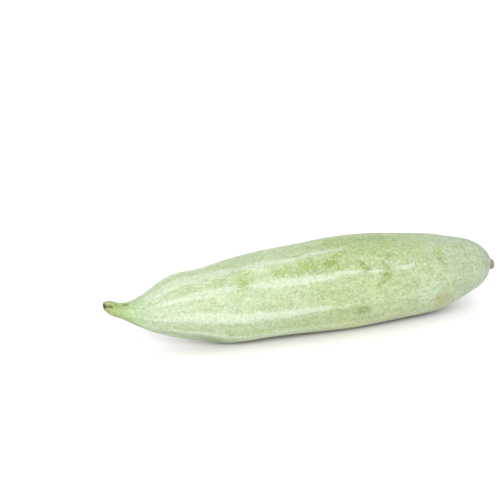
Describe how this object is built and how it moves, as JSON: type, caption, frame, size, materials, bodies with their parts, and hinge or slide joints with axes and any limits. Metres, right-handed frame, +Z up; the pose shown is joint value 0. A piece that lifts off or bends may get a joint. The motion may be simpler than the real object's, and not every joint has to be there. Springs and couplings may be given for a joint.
{
  "type": "snake gourd",
  "caption": "Short snake gourd lying on its side, with a ribbed spindle body, a narrow upturned beak and a cut stem.",
  "frame": {"origin": "middle of the bounding box, on the surface that the gourd lies on", "axes": "+X along the gourd from the tip of the beak to the cut stem, +Z up, -Y the side that the picture shows"},
  "size_m": [0.2044, 0.0446, 0.0439],
  "materials": {
    "gourd_skin": "thin waxy skin, pale green with whitish stripes along the ribs and small white speckles, dull sheen"
  },
  "bodies": {
    "root": {"snake_gourd": "gourd_skin"}
  },
  "joints": []
}
